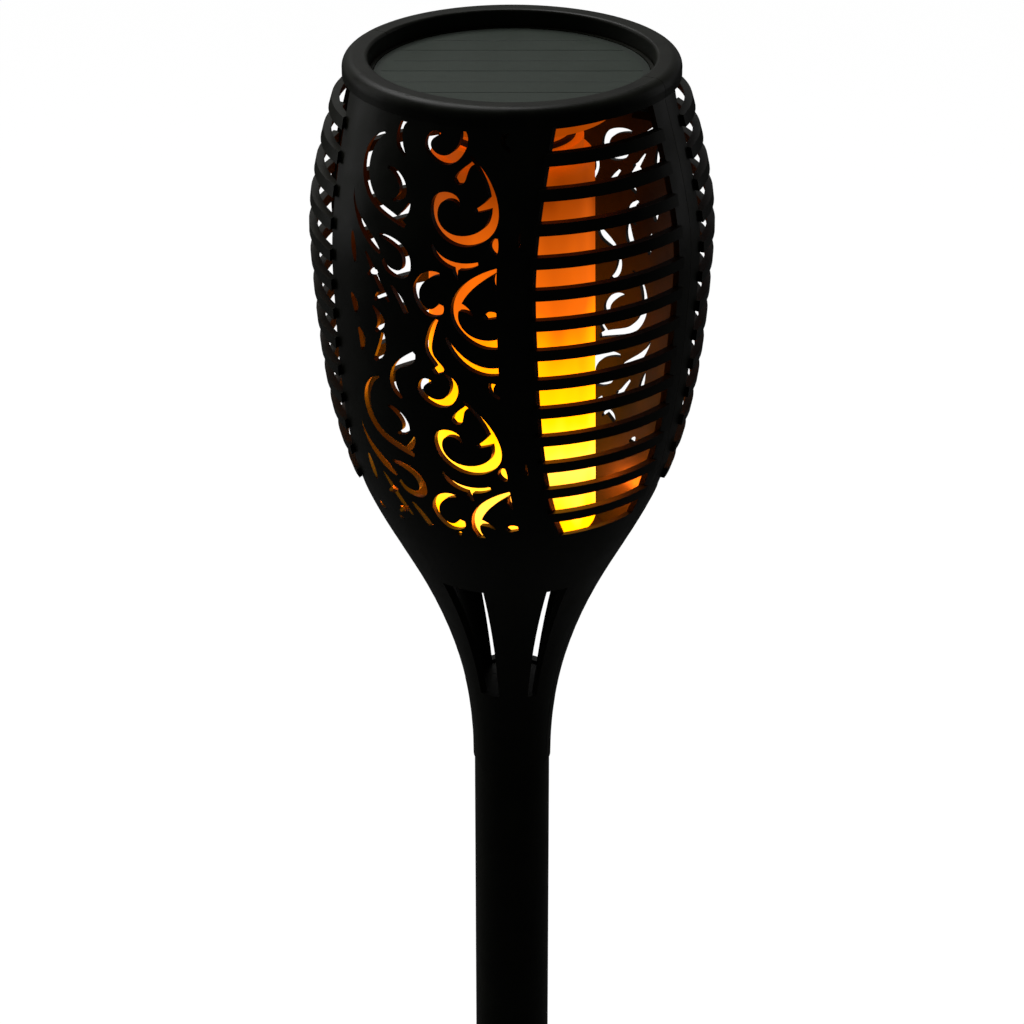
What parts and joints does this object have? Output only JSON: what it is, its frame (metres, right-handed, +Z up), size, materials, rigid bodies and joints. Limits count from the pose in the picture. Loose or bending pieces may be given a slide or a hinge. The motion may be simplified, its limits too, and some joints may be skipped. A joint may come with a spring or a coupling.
{
  "type": "garden torch",
  "caption": "Solar garden torch: a pierced egg-shaped cage head round a flame-lit diffuser, on a plug-together pole with a ground spike.",
  "frame": {"origin": "on the pole's axis at the ground line, where the spike's collar meets the ground", "axes": "+Z up along the pole, the front of the torch faces -Y, +X to its right"},
  "size_m": [0.121, 0.1208, 0.78],
  "materials": {
    "black_abs": "satin",
    "frosted_flame": "frosted, lit from inside",
    "solar_cell": "gloss",
    "black_rubber": "matt",
    "screw_steel": "bright zinc",
    "circuit_board": "solder mask",
    "light_sheet": "white solder mask",
    "diode_lens": "lit amber",
    "grey_plastic": "moulded",
    "battery_wrap": "shrink wrap",
    "contact_metal": "nickel plate"
  },
  "bodies": {
    "spike": {"ground_spike": "black_abs"},
    "pole_section_lower": {"pole_lower": "black_abs", "plug_lower": "black_abs"},
    "pole_section_middle": {"pole_middle": "black_abs", "plug_middle": "black_abs"},
    "pole_section_upper": {"pole_upper": "black_abs", "plug_upper": "black_abs"},
    "head": {"cage_half_front": "black_abs", "cage_half_rear": "black_abs", "seam_pins": "black_abs"},
    "lamp_unit": {"lamp_cap": "black_abs", "panel_seal": "black_rubber", "solar_panel": "solar_cell", "lamp_housing": "frosted_flame", "housing_screws": "screw_steel", "circuit_board": "circuit_board", "board_parts": "black_abs", "switch_body": "black_abs", "light_core": "grey_plastic", "led_sheet": "light_sheet", "light_diodes": "diode_lens", "battery": "battery_wrap", "battery_sleeve": "grey_plastic", "battery_contacts": "contact_metal", "ring_seal": "black_rubber"},
    "diffuser_unit": {"diffuser": "frosted_flame", "diffuser_base": "frosted_flame"},
    "power_button": {"switch_button": "black_rubber"}
  },
  "joints": [
    {"name": "tube_lower_pull", "type": "slide", "parent": "spike", "child": "pole_section_lower", "axis": [0, 0, 1], "range_m": [0, 0.025]},
    {"name": "tube_middle_pull", "type": "slide", "parent": "pole_section_lower", "child": "pole_section_middle", "axis": [0, 0, 1], "range_m": [0, 0.025]},
    {"name": "tube_upper_pull", "type": "slide", "parent": "pole_section_middle", "child": "pole_section_upper", "axis": [0, 0, 1], "range_m": [0, 0.025]},
    {"name": "head_pull", "type": "slide", "parent": "pole_section_upper", "child": "head", "axis": [0, 0, 1], "range_m": [0, 0.025]},
    {"name": "lamp_lift", "type": "slide", "parent": "head", "child": "lamp_unit", "axis": [0, 0, 1], "range_m": [0, 0.155]},
    {"name": "diffuser_twist", "type": "hinge", "parent": "lamp_unit", "child": "diffuser_unit", "pos_m": [0, 0, 0.64], "axis": [0, 0, 1], "range_deg": [0, 20]},
    {"name": "button_press", "type": "slide", "parent": "lamp_unit", "child": "power_button", "axis": [0, 0, 1], "range_m": [0, 0.0012], "stiffness_N_per_m": 800}
  ]
}
